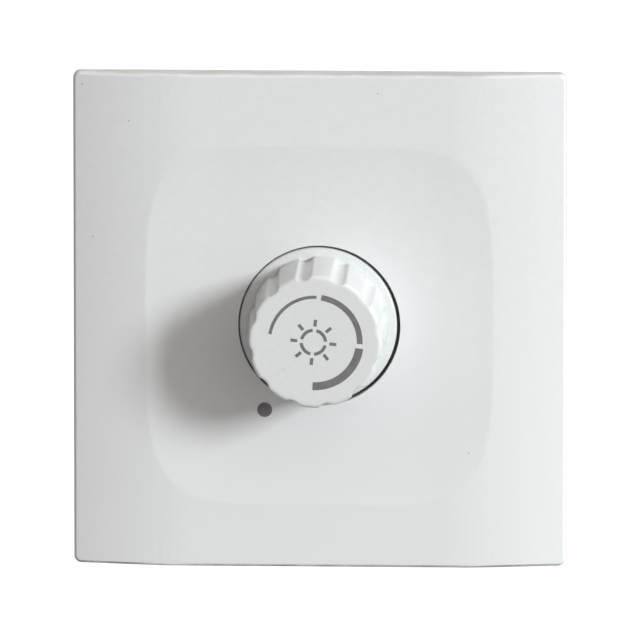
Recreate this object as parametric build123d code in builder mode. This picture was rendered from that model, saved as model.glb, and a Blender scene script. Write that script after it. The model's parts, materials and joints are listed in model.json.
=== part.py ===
from build123d import *

import math
import os

# Rotary wall dimmer on a square plate, in millimetres.
# The wall is the plane Y = 0, the room is on the -Y side and +Z is up.
# The origin is on the wall, midway between the two box screws.
# A station is a distance ahead of the wall; behind the wall it is negative.

# Cover plate
plate_width = 86.0
plate_height = 87.2
plate_front = 8.0
plate_wall = 2.0
plate_corner = 1.25
plate_edge = 0.6
crown_flat = 49.0
crown_bend = 36.0
flank_slope = 9.5
dish_height = 63.4
dish_depth = 0.7
collar_wall = 1.2
collar_length = 1.4
plate_rib = 1.0
plate_rib_height = 0.9
pry_width = 10.0
pry_height = 1.2
pry_reach = 4.0

# Push-fit posts of the cover plate
post_radius = 1.5
post_pitch_x = 40.0
post_inset = 9.0
post_split = 0.6
post_edge = 0.4
socket_fit = 0.05

# Knob
axis_drop = 0.8
axis_shift = 0.2
knob_gap = 0.4
skirt_radius = 13.75
skirt_recess = 0.35
skirt_thick = 1.6
skirt_edge = 0.3
knob_height = 16.3
lobe_radius = 12.1
flute_count = 12
flute_turn = 10.0
flute_width = 2.6
flute_depth = 0.7
knob_draft = 1.5
knob_edge = 0.7
knob_wall = 1.6
knob_roof = 1.8
hub_radius = 4.8
hub_rib = 1.0
hub_rib_count = 6
hub_rib_start = 4.0
hub_gap = 0.3

# Mounting frame
frame_thick = 3.2
frame_inset = 1.3
frame_corner = 2.0
frame_edge = 0.4
deck_recess = 1.0
rim_width = 1.0
rim_height = 1.6
rim_gap = 0.3
box_screw_pitch = 60.3
box_slot_width = 4.4
box_slot_length = 7.0
pocket_width = 14.5
pocket_height = 9.0
pocket_depth = 1.8
side_pocket_width = 7.0
side_pocket_height = 8.5
side_pocket_pitch = 18.4
boss_radius = 2.8
boss_length = 10.0

# Rear housing
housing_width = 50.0
housing_height = 52.0
housing_depth = 28.0
housing_wall = 1.6
housing_corner = 3.0
housing_edge = 0.8
housing_fit = 0.15
column_radius = 3.6
column_floor = 3.0
vent_width = 1.6
vent_length = 17.0
vent_pitch = 3.6
vent_count = 5
side_vent_count = 7
side_vent_length = 9.0
stand_radius = 2.0
stand_pitch = 16.2
stand_sink = 0.5

# Housing screws
screw_radius = 1.2
screw_hole_gap = 0.3
screw_head_radius = 2.2
screw_head_height = 1.8
screw_bite = 7.5
screw_tip_gap = 0.3
drive_slot_width = 0.7
drive_slot_depth = 0.9

# Rotary control
shaft_radius = 3.0
shaft_fit = 0.05
shaft_length = 20.0
shaft_flat_length = 10.0
shaft_flat_cut = 1.5
shaft_chamfer = 0.5
journal_radius = 2.4
groove_radius = 2.4
collar_radius = 4.0
clip_radius = 4.3
clip_thick = 0.5
clip_mouth = 3.4
end_play = 0.1
bush_radius = 3.5
bush_length = 7.0
bush_hole_gap = 0.1
flange_size = 17.0
flange_thick = 1.2
flange_corner = 1.0
lug_width = 2.6
lug_thick = 1.0
lug_length = 1.6
lug_offset = 6.9
washer_radius = 6.2
washer_thick = 0.5
nut_flats = 10.0
nut_height = 2.0
can_radius = 8.3
can_wall = 0.4
can_depth = 7.0
can_back = 0.5
can_window = 9.0
wafer_radius = 7.7
wafer_thick = 1.2
wafer_hole = 4.3
tongue_width = 8.4
tongue_reach = 9.4
carrier_radius = 6.8
carrier_thick = 1.8
wiper_gap = 1.0
wiper_lift = 0.1
wiper_thick = 0.3
wiper_width = 1.6
wiper_tip = 0.7
dog_reach = 5.4
dog_radius = 0.9
dog_length = 1.8
tag_pitch = 2.8
tag_count = 3
tag_foot = 0.5
tag_width = 1.0
tag_thick = 0.5
tag_through = 1.0
tag_land = 1.0

# Mains switch on the back of the control
switch_width = 16.0
switch_height = 15.0
switch_depth = 7.0
switch_corner = 1.5
bearing_depth = 3.5
switch_tag_pitch = 9.0
switch_tag_count = 2

# Circuit board
board_thick = 1.6
board_gap = 0.6
board_clear = 0.4
tag_hole = 0.75
column_gap = 0.6

# Triac and heat sink
sink_side_gap = 2.0
sink_height = 11.4
sink_thick = 1.2
sink_foot = 2.2
sink_top_gap = 0.6
triac_width = 10.0
triac_body = 8.6
triac_thick = 3.2
triac_tab = 5.9
triac_tab_thick = 1.3
triac_hole = 1.6
lead_count = 3
sink_screw_radius = 1.5
sink_screw_head = 2.7
sink_screw_head_height = 1.6
lead_pitch = 2.54
lead_width = 0.8
lead_thick = 0.45

# Choke
choke_radius = 5.5
choke_waist = 2.6
choke_height = 11.0
choke_flange = 1.4
choke_winding_gap = 0.6
choke_wall_gap = 0.8
choke_drop = 3.0

# Capacitors, trigger diode and resistors
film_width = 6.0
film_length = 17.5
film_height = 11.0
film_corner = 0.6
film_wall_gap = 1.0
film_drop = 2.0
timing_width = 3.0
timing_length = 7.2
timing_height = 6.5
timing_gap = 2.3
timing_rise = 8.8
axial_rise = 3.8
axial_gap = 0.6
resistor_radius = 1.15
resistor_length = 6.3
resistor_waist = 0.95
diode_radius = 0.9
diode_waist = 0.8
diode_length = 3.8
wire_radius = 0.3
wire_span = 1.6
axial_lift = 0.4

# Fuse
fuse_radius = 2.5
fuse_length = 20.0
fuse_cap = 5.0
fuse_cap_wall = 0.15
fuse_rise = 8.6
fuse_x = -3.2
fuse_lift = 1.4
clip_wall = 0.4
clip_width = 4.0
clip_base = 0.4
clip_foot = 2.5

# Terminal block, rising cages and their screws
block_width = 18.0
block_height = 10.8
block_wall = 0.8
block_gap = 0.3
pole_pitch = 8.8
chamber_width = 6.3
cage_width = 6.0
cage_length = 5.0
cage_side = 0.9
cage_floor = 0.8
cage_top = 1.2
cage_window = 4.0
cage_lift = 2.0
cage_play = 0.1
wire_window_width = 4.6
wire_window_height = 3.4
bar_thick = 0.8
bar_width = 3.6
bar_reach = 2.4
clamp_screw_radius = 1.5
clamp_screw_fit = 0.05
clamp_head_radius = 2.4
clamp_head_height = 1.2
driver_hole = 2.0
clamp_slot_depth = 0.6
pole_count = 2

# Stations along the shaft, from the room to the back of the housing
dish_floor = plate_front - dish_depth
skirt_top = dish_floor - skirt_recess
skirt_bottom = skirt_top - skirt_thick
knob_face = dish_floor + knob_height
cavity_roof = knob_face - knob_roof
plate_inside = plate_front - plate_wall
plate_back = frame_thick
control_face = deck_recess
shaft_end = control_face + shaft_length
bush_front = control_face + bush_length
clip_back = bush_front + end_play
clip_front = clip_back + clip_thick
flat_start = shaft_end - shaft_flat_length
flange_back = control_face - flange_thick
collar_front = flange_back - end_play
wafer_back = flange_back - wafer_thick
carrier_front = wafer_back - wiper_gap
carrier_back = carrier_front - carrier_thick
can_end = flange_back - can_depth
journal_end = can_end - bearing_depth + end_play
board_front = can_end - switch_depth
board_back = board_front - board_thick
boss_tip = control_face - boss_length
screw_seat = boss_tip - column_floor
housing_floor = housing_wall - housing_depth
chamber_front = board_back - block_wall
block_back = housing_floor + block_gap
cage_front = chamber_front - cage_play
cage_back = cage_front - cage_floor - cage_window - cage_top
wire_station = cage_front - cage_floor - wire_window_height / 2
bar_back = cage_back + cage_top + cage_play
bar_front = bar_back + bar_thick
screw_tip = bar_back - cage_play
head_front = cage_back - cage_lift - cage_play

# Distances across the plate
crown_half = crown_flat / 2
hole_radius = skirt_radius + knob_gap
post_z = plate_height / 2 - post_inset
frame_width = plate_width - 2 * frame_inset
frame_height = plate_height - 2 * frame_inset
recess_width = housing_width + 2 * housing_fit
recess_height = housing_height + 2 * housing_fit
inner_width = housing_width - 2 * housing_wall
inner_height = housing_height - 2 * housing_wall
column_x = inner_width / 2 - screw_head_radius - column_gap
column_z = inner_height / 2 - screw_head_radius - column_gap
column_clear = column_x - column_radius
block_bottom = -inner_height / 2 + block_gap
chamber_height = cage_length + 2 * cage_play
chamber_z = block_bottom + block_wall + chamber_height / 2
screw_bore = screw_head_radius + screw_hole_gap
tag_z = -axis_drop - tongue_reach + tag_foot
switch_tag_z = -axis_drop - switch_height / 2 - tag_thick / 2
board_width = inner_width - 2 * board_gap
board_height = inner_height - 2 * board_gap


def at(station):
    """Plane parallel to the wall; extruding from it goes towards the room."""
    return Plane.XZ.offset(station)


def on_axis(station):
    """Plane parallel to the wall with its origin on the shaft's line."""
    return Plane(origin=(-axis_shift, -station, -axis_drop), x_dir=(1, 0, 0), z_dir=(0, -1, 0))


def round_hole(station, length, radius, x=0.0, z=0.0):
    """Cuts a round hole from a station towards the room."""
    with BuildSketch(at(station)) as hole:
        with Locations((x, z)):
            Circle(radius)
    extrude(hole.sketch, amount=length, mode=Mode.SUBTRACT)


# Sections through the shaft: across is +X, along is towards the room
plan_section = Plane(origin=(0, 0, 0), x_dir=(1, 0, 0), z_dir=(0, 0, -1))
dish_section = Plane(origin=(0, 0, -axis_drop), x_dir=(0, -1, 0), z_dir=(-1, 0, 0))
shaft_section = Plane(origin=(-axis_shift, 0, -axis_drop), x_dir=(1, 0, 0), z_dir=(0, 0, -1))
shaft_line = Axis((-axis_shift, 0, -axis_drop), (0, -1, 0))


def crown_section(inset, back):
    """Horizontal section of the crowned plate: flat, a short bend each side, then straight flanks."""
    half = plate_width / 2 - inset
    top = plate_front - inset
    bend = crown_bend - inset
    bend_x = crown_half + bend * math.sin(math.radians(flank_slope))
    bend_drop = bend * (1 - math.cos(math.radians(flank_slope)))
    flank_drop = (half - bend_x) * math.tan(math.radians(flank_slope))
    shoulder = top - bend_drop - flank_drop
    with BuildSketch(plan_section) as section:
        with BuildLine():
            Line((-crown_half, top), (crown_half, top))
            for side in (-1, 1):
                TangentArc((side * crown_half, top), (side * bend_x, top - bend_drop), tangent=(side, 0))
                Line((side * bend_x, top - bend_drop), (side * half, shoulder))
                Line((side * half, shoulder), (side * half, back))
            Line((-half, back), (half, back))
        make_face()
    return section.sketch


def is_crown_seam(edge):
    """True for the lines that run up the face where the crown's flat, bends and flanks meet."""
    seams = (crown_half, crown_half + crown_bend * math.sin(math.radians(flank_slope)))
    return any(math.isclose(abs(edge.center().X), seam, abs_tol=plate_edge) for seam in seams)


# Cover plate: crowned shell with a very shallow dish, a collar round the hole and four posts
with BuildPart() as cover_plate:
    extrude(crown_section(0, plate_back), amount=plate_height / 2, both=True)
    fillet(cover_plate.edges().filter_by(Axis.Y), radius=plate_corner)
    front_edges = cover_plate.edges().filter_by_position(Axis.Y, -plate_front, -plate_back - plate_edge)
    rim_edges = front_edges.filter_by(Axis.Y, reverse=True).filter_by(is_crown_seam, reverse=True)
    fillet(rim_edges, radius=plate_edge)
    cavity = crown_section(plate_wall, plate_back - plate_wall)
    extrude(cavity, amount=plate_height / 2 - plate_wall, both=True, mode=Mode.SUBTRACT)
    # The dish is a cylinder of very large radius lying across the plate
    with BuildSketch(dish_section):
        with BuildLine():
            ThreePointArc((plate_front, -dish_height / 2), (dish_floor, 0), (plate_front, dish_height / 2))
            Line((plate_front, dish_height / 2), (plate_front + plate_edge, dish_height / 2))
            Line((plate_front + plate_edge, dish_height / 2), (plate_front + plate_edge, -dish_height / 2))
            Line((plate_front + plate_edge, -dish_height / 2), (plate_front, -dish_height / 2))
        make_face()
    extrude(amount=plate_width / 2, both=True, mode=Mode.SUBTRACT)
    with BuildSketch(at(plate_inside - collar_length)):
        with Locations((0, -axis_drop)):
            Circle(hole_radius + collar_wall)
    extrude(amount=collar_length)
    with BuildSketch(at(plate_inside - plate_rib_height)):
        Rectangle(plate_rib, plate_height - 2 * plate_wall)
        with Locations((0, -axis_drop)):
            Rectangle(crown_flat, plate_rib)
    extrude(amount=plate_rib_height)
    round_hole(0, plate_front, hole_radius, z=-axis_drop)
    with BuildSketch(at(control_face)):
        with GridLocations(post_pitch_x, 2 * post_z, 2, 2):
            Circle(post_radius)
    extrude(amount=plate_inside - control_face)
    post_ends = cover_plate.faces().filter_by_position(Axis.Y, -control_face, -control_face)
    chamfer(post_ends.edges(), length=post_edge)
    with BuildSketch(at(control_face)):
        with GridLocations(post_pitch_x, 2 * post_z, 2, 2):
            Rectangle(post_split, 2 * post_radius)
    extrude(amount=frame_thick, mode=Mode.SUBTRACT)
    # Slot in the lower rim for a screwdriver that lifts the plate off
    with BuildSketch(at(plate_back)):
        with Locations((0, -plate_height / 2)):
            Rectangle(pry_width, 2 * pry_reach)
    extrude(amount=pry_height, mode=Mode.SUBTRACT)
cover_plate.part.label = "cover_plate"
export_step(cover_plate.part, "parts/cover_plate.step")


# Knob: drafted fluted cup with a skirt, a D-bored hub and radial ribs
with BuildPart() as knob:
    with BuildSketch(on_axis(skirt_top)):
        Circle(lobe_radius)
    extrude(amount=knob_face - skirt_top, taper=knob_draft)
    fillet(knob.faces().sort_by(Axis.Y)[0].edges(), radius=knob_edge)
    # Each flute is a cone that widens towards the face, so its depth is the same all the way
    flute_radius = (flute_width**2 / 4 + flute_depth**2) / (2 * flute_depth)
    with BuildSketch(on_axis(skirt_top)):
        with PolarLocations(lobe_radius - flute_depth + flute_radius, flute_count, start_angle=flute_turn):
            Circle(flute_radius)
    extrude(amount=knob_face - skirt_top + knob_edge, taper=-knob_draft, mode=Mode.SUBTRACT)
    with BuildSketch(on_axis(skirt_bottom)):
        Circle(skirt_radius)
    extrude(amount=skirt_thick)
    skirt_face = knob.faces().filter_by(Axis.Y).sort_by(Axis.Y)[-2]
    fillet(skirt_face.edges().filter_by(GeomType.CIRCLE).sort_by(SortBy.RADIUS)[-1], radius=skirt_edge)
    cavity_radius = lobe_radius - flute_depth - knob_wall
    round_hole(skirt_bottom, cavity_roof - skirt_bottom, cavity_radius, -axis_shift, -axis_drop)
    with BuildSketch(on_axis(clip_front + hub_gap)):
        Circle(hub_radius)
    extrude(amount=cavity_roof - clip_front - hub_gap)
    with BuildSketch(on_axis(clip_front + hub_rib_start)):
        with PolarLocations((hub_radius + cavity_radius) / 2, hub_rib_count):
            Rectangle(cavity_radius - hub_radius + hub_rib, hub_rib)
    extrude(amount=cavity_roof - clip_front - hub_rib_start)
    # The bore is round as far as the shaft is, and D-shaped over the shaft's flat
    bore_radius = shaft_radius + shaft_fit
    round_hole(skirt_bottom, flat_start + hub_gap - skirt_bottom, bore_radius, -axis_shift, -axis_drop)
    with BuildSketch(on_axis(flat_start)):
        Circle(bore_radius)
        with Locations((0, shaft_radius - shaft_flat_cut + shaft_fit + shaft_radius / 2)):
            Rectangle(2 * hub_radius, shaft_radius, mode=Mode.SUBTRACT)
    extrude(amount=shaft_end + shaft_fit - flat_start, mode=Mode.SUBTRACT)
knob.part.label = "knob"
export_step(knob.part, "parts/knob.step")


# Mounting frame: slab on the wall, with a deck for the control and bosses for the housing
with BuildPart() as mounting_frame:
    with BuildSketch(at(0)):
        RectangleRounded(frame_width, frame_height, frame_corner)
    extrude(amount=frame_thick)
    chamfer(mounting_frame.faces().sort_by(Axis.Y)[0].edges(), length=frame_edge)
    with BuildSketch(at(0)):
        RectangleRounded(recess_width, recess_height, housing_corner + housing_fit)
    extrude(amount=deck_recess, mode=Mode.SUBTRACT)
    with BuildSketch(at(0)):
        with GridLocations(post_pitch_x / 2, 2 * post_z, 4, 2):
            Rectangle(pocket_width, pocket_height)
        with GridLocations(box_screw_pitch, side_pocket_pitch, 2, 2):
            Rectangle(side_pocket_width, side_pocket_height)
    extrude(amount=pocket_depth, mode=Mode.SUBTRACT)
    with BuildSketch(at(0)):
        with GridLocations(box_screw_pitch, 0, 2, 1):
            SlotOverall(box_slot_length, box_slot_width)
        with GridLocations(post_pitch_x, 2 * post_z, 2, 2):
            Circle(post_radius + socket_fit)
    extrude(amount=frame_thick, mode=Mode.SUBTRACT)
    # Two low bars that fit inside the cover plate's upper and lower walls
    with BuildSketch(at(frame_thick)):
        bar_z = plate_height / 2 - plate_wall - rim_gap - rim_width / 2
        with GridLocations(0, 2 * bar_z, 1, 2):
            Rectangle(crown_flat, rim_width)
    extrude(amount=rim_height)
    with BuildSketch(at(boss_tip)):
        with GridLocations(2 * column_x, 2 * column_z, 2, 2):
            Circle(boss_radius)
    extrude(amount=boss_length)
    with BuildSketch(at(boss_tip)):
        with GridLocations(2 * column_x, 2 * column_z, 2, 2):
            Circle(screw_radius)
    extrude(amount=screw_bite + screw_tip_gap, mode=Mode.SUBTRACT)
    round_hole(0, frame_thick, bush_radius + bush_hole_gap, -axis_shift, -axis_drop)
    with BuildSketch(at(0)):
        with Locations((-axis_shift, -axis_drop + lug_offset)):
            Rectangle(lug_width + 2 * bush_hole_gap, lug_thick + 2 * bush_hole_gap)
    extrude(amount=frame_thick, mode=Mode.SUBTRACT)
mounting_frame.part.label = "mounting_frame"
export_step(mounting_frame.part, "parts/mounting_frame.step")


# Rear housing: vented box with deep screw columns and stands for the circuit board
with BuildPart() as rear_housing:
    with BuildSketch(at(-housing_depth)):
        RectangleRounded(housing_width, housing_height, housing_corner)
    extrude(amount=housing_depth + deck_recess)
    fillet(rear_housing.faces().sort_by(Axis.Y)[-1].edges(), radius=housing_edge)
    with BuildSketch(at(housing_floor)):
        RectangleRounded(inner_width, inner_height, housing_corner - housing_wall)
    extrude(amount=deck_recess - housing_floor, mode=Mode.SUBTRACT)
    with BuildSketch(at(housing_floor)):
        with GridLocations(2 * column_x, 2 * column_z, 2, 2):
            Circle(column_radius)
        RectangleRounded(inner_width, inner_height, housing_corner - housing_wall, mode=Mode.INTERSECT)
    extrude(amount=boss_tip - housing_floor)
    with BuildSketch(at(-housing_depth)):
        with GridLocations(2 * column_x, 2 * column_z, 2, 2):
            Circle(screw_bore)
    extrude(amount=screw_seat + housing_depth, mode=Mode.SUBTRACT)
    with BuildSketch(at(-housing_depth)):
        with GridLocations(2 * column_x, 2 * column_z, 2, 2):
            Circle(screw_radius + screw_hole_gap)
    extrude(amount=housing_depth, mode=Mode.SUBTRACT)
    stand_x = inner_width / 2 - stand_radius + stand_sink
    with BuildSketch(at(housing_floor)):
        with GridLocations(2 * stand_x, stand_pitch, 2, 2):
            Circle(stand_radius)
    extrude(amount=board_back - housing_floor)
    # Vents in the back above the terminals and in the top wall
    with BuildSketch(at(-housing_depth)):
        with Locations((0, inner_height / 4)):
            with GridLocations(0, vent_pitch, 1, vent_count):
                SlotOverall(vent_length, vent_width)
    extrude(amount=housing_wall, mode=Mode.SUBTRACT)
    with BuildSketch(Plane.XY.offset(housing_height / 2 - housing_wall)):
        with Locations((0, -(board_front + deck_recess) / 2)):
            with GridLocations(vent_pitch, 0, side_vent_count, 1):
                SlotOverall(side_vent_length, vent_width, rotation=90)
    extrude(amount=housing_wall, mode=Mode.SUBTRACT)
    # Wire windows in the bottom wall and driver holes over the clamp screws
    with BuildSketch(Plane.XY.offset(-housing_height / 2)):
        with Locations((0, -wire_station)):
            with GridLocations(pole_pitch, 0, pole_count, 1):
                Rectangle(wire_window_width, wire_window_height)
    extrude(amount=housing_wall, mode=Mode.SUBTRACT)
    with BuildSketch(at(-housing_depth)):
        with Locations((0, chamber_z)):
            with GridLocations(pole_pitch, 0, pole_count, 1):
                Circle(driver_hole)
    extrude(amount=housing_wall, mode=Mode.SUBTRACT)
rear_housing.part.label = "rear_housing"
export_step(rear_housing.part, "parts/rear_housing.step")


# Housing screws: pan heads in the columns' deep bores, shanks in the frame's bosses
with BuildPart() as housing_screws:
    with BuildSketch(at(screw_seat - screw_head_height)):
        with GridLocations(2 * column_x, 2 * column_z, 2, 2):
            Circle(screw_head_radius)
    extrude(amount=screw_head_height)
    with BuildSketch(at(screw_seat)):
        with GridLocations(2 * column_x, 2 * column_z, 2, 2):
            Circle(screw_radius)
    extrude(amount=column_floor + screw_bite)
    with BuildSketch(at(screw_seat - screw_head_height)):
        with GridLocations(2 * column_x, 2 * column_z, 2, 2):
            Rectangle(2 * screw_head_radius, drive_slot_width)
            Rectangle(drive_slot_width, 2 * screw_head_radius)
    extrude(amount=drive_slot_depth, mode=Mode.SUBTRACT)
housing_screws.part.label = "housing_screws"
export_step(housing_screws.part, "parts/housing_screws.step")


# Control bushing: square front plate, bushing and the lug that stops it turning
with BuildPart() as control_bushing:
    with BuildSketch(on_axis(flange_back)):
        RectangleRounded(flange_size, flange_size, flange_corner)
    extrude(amount=flange_thick)
    with BuildSketch(on_axis(control_face)):
        Circle(bush_radius)
    extrude(amount=bush_length)
    chamfer(control_bushing.faces().sort_by(Axis.Y)[0].edges(), length=bush_hole_gap)
    with BuildSketch(at(control_face)):
        with Locations((-axis_shift, -axis_drop + lug_offset)):
            Rectangle(lug_width, lug_thick)
    extrude(amount=lug_length)
    round_hole(flange_back, flange_thick + bush_length, shaft_radius + shaft_fit, -axis_shift, -axis_drop)
control_bushing.part.label = "control_bushing"
export_step(control_bushing.part, "parts/control_bushing.step")


with BuildPart() as control_washer:
    with BuildSketch(on_axis(frame_thick)):
        Circle(washer_radius)
        Circle(bush_radius + bush_hole_gap, mode=Mode.SUBTRACT)
    extrude(amount=washer_thick)
control_washer.part.label = "control_washer"
export_step(control_washer.part, "parts/control_washer.step")


with BuildPart() as control_nut:
    with BuildSketch(on_axis(frame_thick + washer_thick)):
        RegularPolygon(nut_flats / 2, 6, major_radius=False)
        Circle(bush_radius, mode=Mode.SUBTRACT)
    extrude(amount=nut_height)
control_nut.part.label = "control_nut"
export_step(control_nut.part, "parts/control_nut.step")


# Control can: cup over the track, open at the bottom for the wafer's tongue
with BuildPart() as control_can:
    with BuildSketch(on_axis(can_end)):
        Circle(can_radius)
    extrude(amount=can_depth)
    round_hole(can_end + can_back, can_depth - can_back, can_radius - can_wall, -axis_shift, -axis_drop)
    round_hole(can_end, can_back, shaft_radius, -axis_shift, -axis_drop)
    with BuildSketch(at(can_end + can_back)):
        with Locations((-axis_shift, -axis_drop - can_radius)):
            Rectangle(can_window, can_radius)
    extrude(amount=can_depth - can_back, mode=Mode.SUBTRACT)
control_can.part.label = "control_can"
export_step(control_can.part, "parts/control_can.step")


# Wafer with the track, its tongue reaching down out of the can
with BuildPart() as control_wafer:
    with BuildSketch(on_axis(wafer_back)):
        Circle(wafer_radius)
        with Locations((0, -tongue_reach / 2)):
            Rectangle(tongue_width, tongue_reach)
        Circle(wafer_hole, mode=Mode.SUBTRACT)
    extrude(amount=wafer_thick)
control_wafer.part.label = "control_wafer"
export_step(control_wafer.part, "parts/control_wafer.step")


def solder_tags(pitch, count, z, start, foot_z):
    """Bent tags: flat against what carries them, then back through the circuit board."""
    with BuildSketch(at(start - tag_thick)) as heads:
        with Locations((-axis_shift, (z + foot_z) / 2)):
            with GridLocations(pitch, 0, count, 1):
                Rectangle(tag_width, abs(z - foot_z) + tag_thick)
    extrude(heads.sketch, amount=tag_thick)
    with BuildSketch(at(board_back - tag_through)) as legs:
        with Locations((-axis_shift, foot_z)):
            with GridLocations(pitch, 0, count, 1):
                Rectangle(tag_width, tag_thick)
    extrude(legs.sketch, amount=start - board_back + tag_through)


with BuildPart() as control_tags:
    solder_tags(tag_pitch, tag_count, tag_z + tag_land, wafer_back, tag_z)
control_tags.part.label = "control_tags"
export_step(control_tags.part, "parts/control_tags.step")


# Shaft, turned in one piece: D end, clip groove, bearing length, collar and rear journal
with BuildPart() as control_shaft:
    with BuildSketch(shaft_section):
        with BuildLine():
            Polyline(
                (0, shaft_end),
                (shaft_radius - shaft_chamfer, shaft_end),
                (shaft_radius, shaft_end - shaft_chamfer),
                (shaft_radius, clip_front),
                (groove_radius, clip_front),
                (groove_radius, clip_back),
                (shaft_radius, clip_back),
                (shaft_radius, collar_front),
                (collar_radius, collar_front),
                (collar_radius, wafer_back),
                (shaft_radius, wafer_back),
                (shaft_radius, carrier_back),
                (journal_radius, carrier_back),
                (journal_radius, journal_end),
                (0, journal_end),
                close=True,
            )
        make_face()
    revolve(axis=shaft_line)
    with BuildSketch(at(flat_start)):
        with Locations((-axis_shift, -axis_drop + shaft_radius - shaft_flat_cut + shaft_radius / 2)):
            Rectangle(2 * shaft_radius, shaft_radius)
    extrude(amount=shaft_flat_length, mode=Mode.SUBTRACT)
control_shaft.part.label = "control_shaft"
export_step(control_shaft.part, "parts/control_shaft.step")


# Retaining ring, open on one side so that it slides into the groove
with BuildPart() as shaft_clip:
    with BuildSketch(on_axis(clip_back)):
        Circle(clip_radius)
        Circle(groove_radius, mode=Mode.SUBTRACT)
        with Locations((0, -clip_radius)):
            Rectangle(clip_mouth, 2 * clip_radius - groove_radius, mode=Mode.SUBTRACT)
    extrude(amount=clip_thick)
shaft_clip.part.label = "shaft_clip"
export_step(shaft_clip.part, "parts/shaft_clip.step")


# Carrier of the wiper, with the dog that trips the switch
with BuildPart() as control_rotor:
    with BuildSketch(on_axis(carrier_back)):
        Circle(carrier_radius)
        Circle(shaft_radius, mode=Mode.SUBTRACT)
    extrude(amount=carrier_thick)
    with BuildSketch(at(carrier_back - dog_length)):
        with Locations((-axis_shift - dog_reach, -axis_drop)):
            Circle(dog_radius)
    extrude(amount=dog_length)
control_rotor.part.label = "control_rotor"
export_step(control_rotor.part, "parts/control_rotor.step")


# Wiper: spring ring flat on the carrier, with an arm that rises to the track
with BuildPart() as control_wiper:
    with BuildSketch(on_axis(carrier_front)):
        Circle(collar_radius + wiper_width)
        Circle(collar_radius, mode=Mode.SUBTRACT)
    extrude(amount=wiper_thick)
    with BuildSketch(at(carrier_front)):
        with Locations((-axis_shift - dog_reach, -axis_drop)):
            Rectangle(wiper_tip, wiper_width)
    extrude(amount=wiper_gap - wiper_lift)
control_wiper.part.label = "control_wiper"
export_step(control_wiper.part, "parts/control_wiper.step")


# Sealed mains switch, which also carries the shaft's rear journal
with BuildPart() as switch_case:
    with BuildSketch(on_axis(board_front)):
        RectangleRounded(switch_width, switch_height, switch_corner)
    extrude(amount=switch_depth)
    round_hole(can_end - bearing_depth, bearing_depth, journal_radius + shaft_fit, -axis_shift, -axis_drop)
switch_case.part.label = "switch_case"
export_step(switch_case.part, "parts/switch_case.step")


with BuildPart() as switch_tags:
    with BuildSketch(at(board_back - tag_through)):
        with Locations((-axis_shift, switch_tag_z)):
            with GridLocations(switch_tag_pitch, 0, switch_tag_count, 1):
                Rectangle(tag_width, tag_thick)
    extrude(amount=can_end - switch_depth / 2 - board_back + tag_through)
switch_tags.part.label = "switch_tags"
export_step(switch_tags.part, "parts/switch_tags.step")


# Circuit board, notched round the screw columns
with BuildPart() as circuit_board:
    with BuildSketch(at(board_back)):
        Rectangle(board_width, board_height)
        with GridLocations(2 * column_x, 2 * column_z, 2, 2):
            Circle(column_radius + board_clear, mode=Mode.SUBTRACT)
        with GridLocations(board_width, board_height, 2, 2):
            notch = board_width - 2 * column_x + board_clear
            Rectangle(notch, notch, mode=Mode.SUBTRACT)
        with Locations((-axis_shift, tag_z)):
            with GridLocations(tag_pitch, 0, tag_count, 1):
                Circle(tag_hole, mode=Mode.SUBTRACT)
        with Locations((-axis_shift, switch_tag_z)):
            with GridLocations(switch_tag_pitch, 0, switch_tag_count, 1):
                Circle(tag_hole, mode=Mode.SUBTRACT)
    extrude(amount=board_thick)
circuit_board.part.label = "circuit_board"
export_step(circuit_board.part, "parts/circuit_board.step")


# Heat sink: aluminium plate over the board, its upper edge folded back to the board
sink_back = board_front + sink_foot
sink_front = sink_back + sink_thick
sink_left = sink_side_gap - column_clear
sink_right = (triac_tab + triac_body) / 2
sink_x = (sink_left + sink_right) / 2
sink_top = inner_height / 2 - sink_top_gap
sink_z = sink_top - sink_height / 2
tab_x = -triac_body / 2
with BuildPart() as heat_sink:
    with BuildSketch(at(sink_back)):
        with Locations((sink_x, sink_z)):
            Rectangle(sink_right - sink_left, sink_height)
    extrude(amount=sink_thick)
    with BuildSketch(at(board_front)):
        with Locations((sink_x, sink_top - sink_thick / 2)):
            Rectangle(sink_right - sink_left, sink_thick)
    extrude(amount=sink_foot)
    round_hole(sink_back, sink_thick, sink_screw_radius, tab_x, sink_z)
heat_sink.part.label = "heat_sink"
export_step(heat_sink.part, "parts/heat_sink.step")


# Triac: moulded body on a metal tab, lying across the sink with three leads bent into the board
lead_front = sink_front + triac_tab_thick
lead_x = sink_right + lead_thick
with BuildPart() as triac:
    with BuildSketch(at(sink_front)):
        with Locations((tab_x, sink_z)):
            Rectangle(triac_tab, triac_width)
            Circle(triac_hole, mode=Mode.SUBTRACT)
    extrude(amount=triac_tab_thick)
    with BuildSketch(at(sink_front)):
        with Locations((tab_x + sink_right, sink_z)):
            Rectangle(triac_body, triac_width)
    extrude(amount=triac_thick)
    with BuildSketch(at(lead_front - lead_thick)):
        with Locations((lead_x, sink_z)):
            with GridLocations(0, lead_pitch, 1, lead_count):
                Rectangle(2 * lead_thick, lead_width)
    extrude(amount=lead_thick)
    with BuildSketch(at(board_front)):
        with Locations((lead_x + lead_thick / 2, sink_z)):
            with GridLocations(0, lead_pitch, 1, lead_count):
                Rectangle(lead_thick, lead_width)
    extrude(amount=lead_front - board_front)
triac.part.label = "triac"
export_step(triac.part, "parts/triac.step")


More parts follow.
